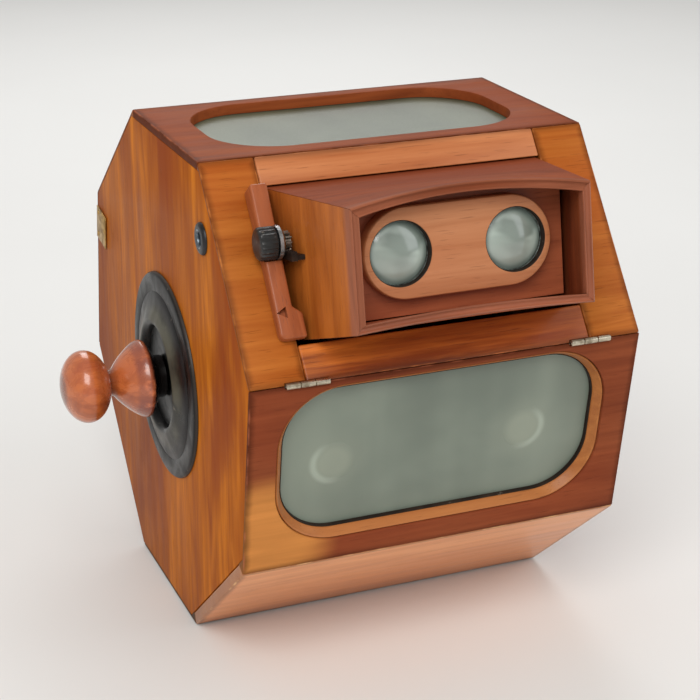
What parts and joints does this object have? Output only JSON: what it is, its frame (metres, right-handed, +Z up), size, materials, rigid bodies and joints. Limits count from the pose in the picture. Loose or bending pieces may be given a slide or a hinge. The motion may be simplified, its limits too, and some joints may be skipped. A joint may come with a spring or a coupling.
{
  "type": "revolving stereo card viewer",
  "caption": "Eight-sided wooden tabletop stereo viewer with a focusing eyepiece hood, glazed doors and a reel of card holders turned by side knobs.",
  "frame": {"origin": "on the resting face, straight below the axle, halfway across the case", "axes": "+Z up, +X along the axle to the viewer's right, -Y towards the person who looks in"},
  "size_m": [0.3532, 0.3483, 0.2942],
  "materials": {
    "bead_wood": "polished moulding",
    "black_iron": "black japanned, a little worn",
    "brass": "aged",
    "door_wood": "French-polished, reddish, fine grain across the case",
    "end_wood": "French-polished, straight vertical grain",
    "front_wood": "French-polished, straight grain",
    "ground_glass": "ground, grey-green",
    "hood_wood": "polished, dark reddish",
    "inner_wood": "dull, unpolished",
    "knob_wood": "turned and polished, glossy",
    "lens_glass": "clear, polished",
    "pale_wood": "polished, lighter salmon tone",
    "steel": "nickelled, dull",
    "tinplate": "black lacquered sheet"
  },
  "bodies": {
    "case": {"back_hinge_fixed_left": "steel", "back_hinge_fixed_right": "steel", "bottom_board": "inner_wood", "catch_plate": "brass", "focus_bearing": "steel", "focus_block": "hood_wood", "front_hinge_fixed_left": "steel", "front_hinge_fixed_right": "steel", "guide_bracket_left": "inner_wood", "guide_bracket_right": "inner_wood", "left_end_panel": "end_wood", "left_escutcheon": "black_iron", "lower_back_board": "front_wood", "lower_front_board": "pale_wood", "right_end_panel": "end_wood", "right_escutcheon": "black_iron", "side_eyelet": "black_iron", "top_ground_glass": "ground_glass", "top_window_frame": "front_wood", "upper_back_board": "front_wood", "upper_front_bottom_rail": "front_wood", "upper_front_left_stile": "front_wood", "upper_front_right_stile": "front_wood", "upper_front_top_rail": "front_wood"},
    "reel": {"axle": "steel", "card_holder_1": "tinplate", "card_holder_2": "tinplate", "card_holder_3": "tinplate", "card_holder_4": "tinplate", "card_holder_5": "tinplate", "card_holder_6": "tinplate", "left_knob": "knob_wood", "left_spider": "inner_wood", "reel_spring_washer": "steel", "right_knob": "knob_wood", "right_spider": "inner_wood"},
    "front_door": {"front_door_bead": "bead_wood", "front_door_frame": "door_wood", "front_door_glass": "ground_glass", "front_hinge_leaf_left": "steel", "front_hinge_leaf_right": "steel"},
    "back_door": {"back_door_bead": "bead_wood", "back_door_frame": "door_wood", "back_door_glass": "ground_glass", "back_hinge_leaf_left": "steel", "back_hinge_leaf_right": "steel"},
    "eyepiece": {"focus_rack": "brass", "guide_rod_left": "steel", "guide_rod_right": "steel", "hood_bottom": "hood_wood", "hood_left_side": "hood_wood", "hood_right_side": "hood_wood", "hood_top": "hood_wood", "left_lens": "lens_glass", "lens_board": "pale_wood", "lens_plate": "hood_wood", "right_lens": "lens_glass"},
    "focus": {"focus_knob": "black_iron", "focus_pinion": "steel"}
  },
  "joints": [
    {"name": "reel_turn", "type": "hinge", "parent": "case", "child": "reel", "pos_m": [0, 0, 0.1454], "axis": [1, 0, 0], "continuous": true},
    {"name": "hood_focus", "type": "slide", "parent": "case", "child": "eyepiece", "axis": [0, -0.9848, 0.1736], "range_m": [-0.005, 0.008]},
    {"name": "focus_knob_turn", "type": "hinge", "parent": "case", "child": "focus", "pos_m": [0, -0.1166, 0.25833], "axis": [1, 0, 0], "range_deg": [-100, 65]},
    {"name": "front_door_swing", "type": "hinge", "parent": "case", "child": "front_door", "pos_m": [0, -0.15218, 0.1929], "axis": [-1, 0, 0], "range_deg": [0, 110]},
    {"name": "back_door_swing", "type": "hinge", "parent": "case", "child": "back_door", "pos_m": [0, 0.16567, 0.10688], "axis": [-1, 0, 0], "range_deg": [0, 110]}
  ],
  "couplings": [
    {"joint": "focus_knob_turn", "follows": "hood_focus", "rad_per_m": -208.33}
  ]
}
